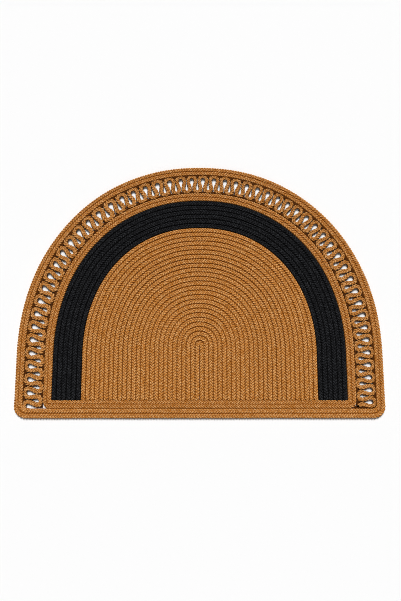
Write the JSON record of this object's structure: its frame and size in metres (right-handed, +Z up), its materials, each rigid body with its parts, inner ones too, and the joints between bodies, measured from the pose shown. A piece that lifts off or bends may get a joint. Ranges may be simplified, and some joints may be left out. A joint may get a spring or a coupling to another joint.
{
  "type": "half-round doormat",
  "caption": "Half-round braided doormat: tan centre of U-shaped braid rows, black braid stripe, tan border, openwork band of braid loops and a braided rim, lying flat on the floor.",
  "frame": {"origin": "centre of the bounding box's bottom face, on the floor under the mat", "axes": "+X along the straight front edge to the right, +Y from the straight edge towards the crown of the arch, +Z up"},
  "size_m": [0.8956, 0.6324, 0.009],
  "materials": {
    "tan_braid": "matte",
    "black_braid": "matte"
  },
  "bodies": {
    "root": {"centre_panel": "tan_braid", "black_band": "black_braid", "inner_border": "tan_braid", "loop_band": "tan_braid", "outer_rim": "tan_braid"}
  },
  "joints": []
}
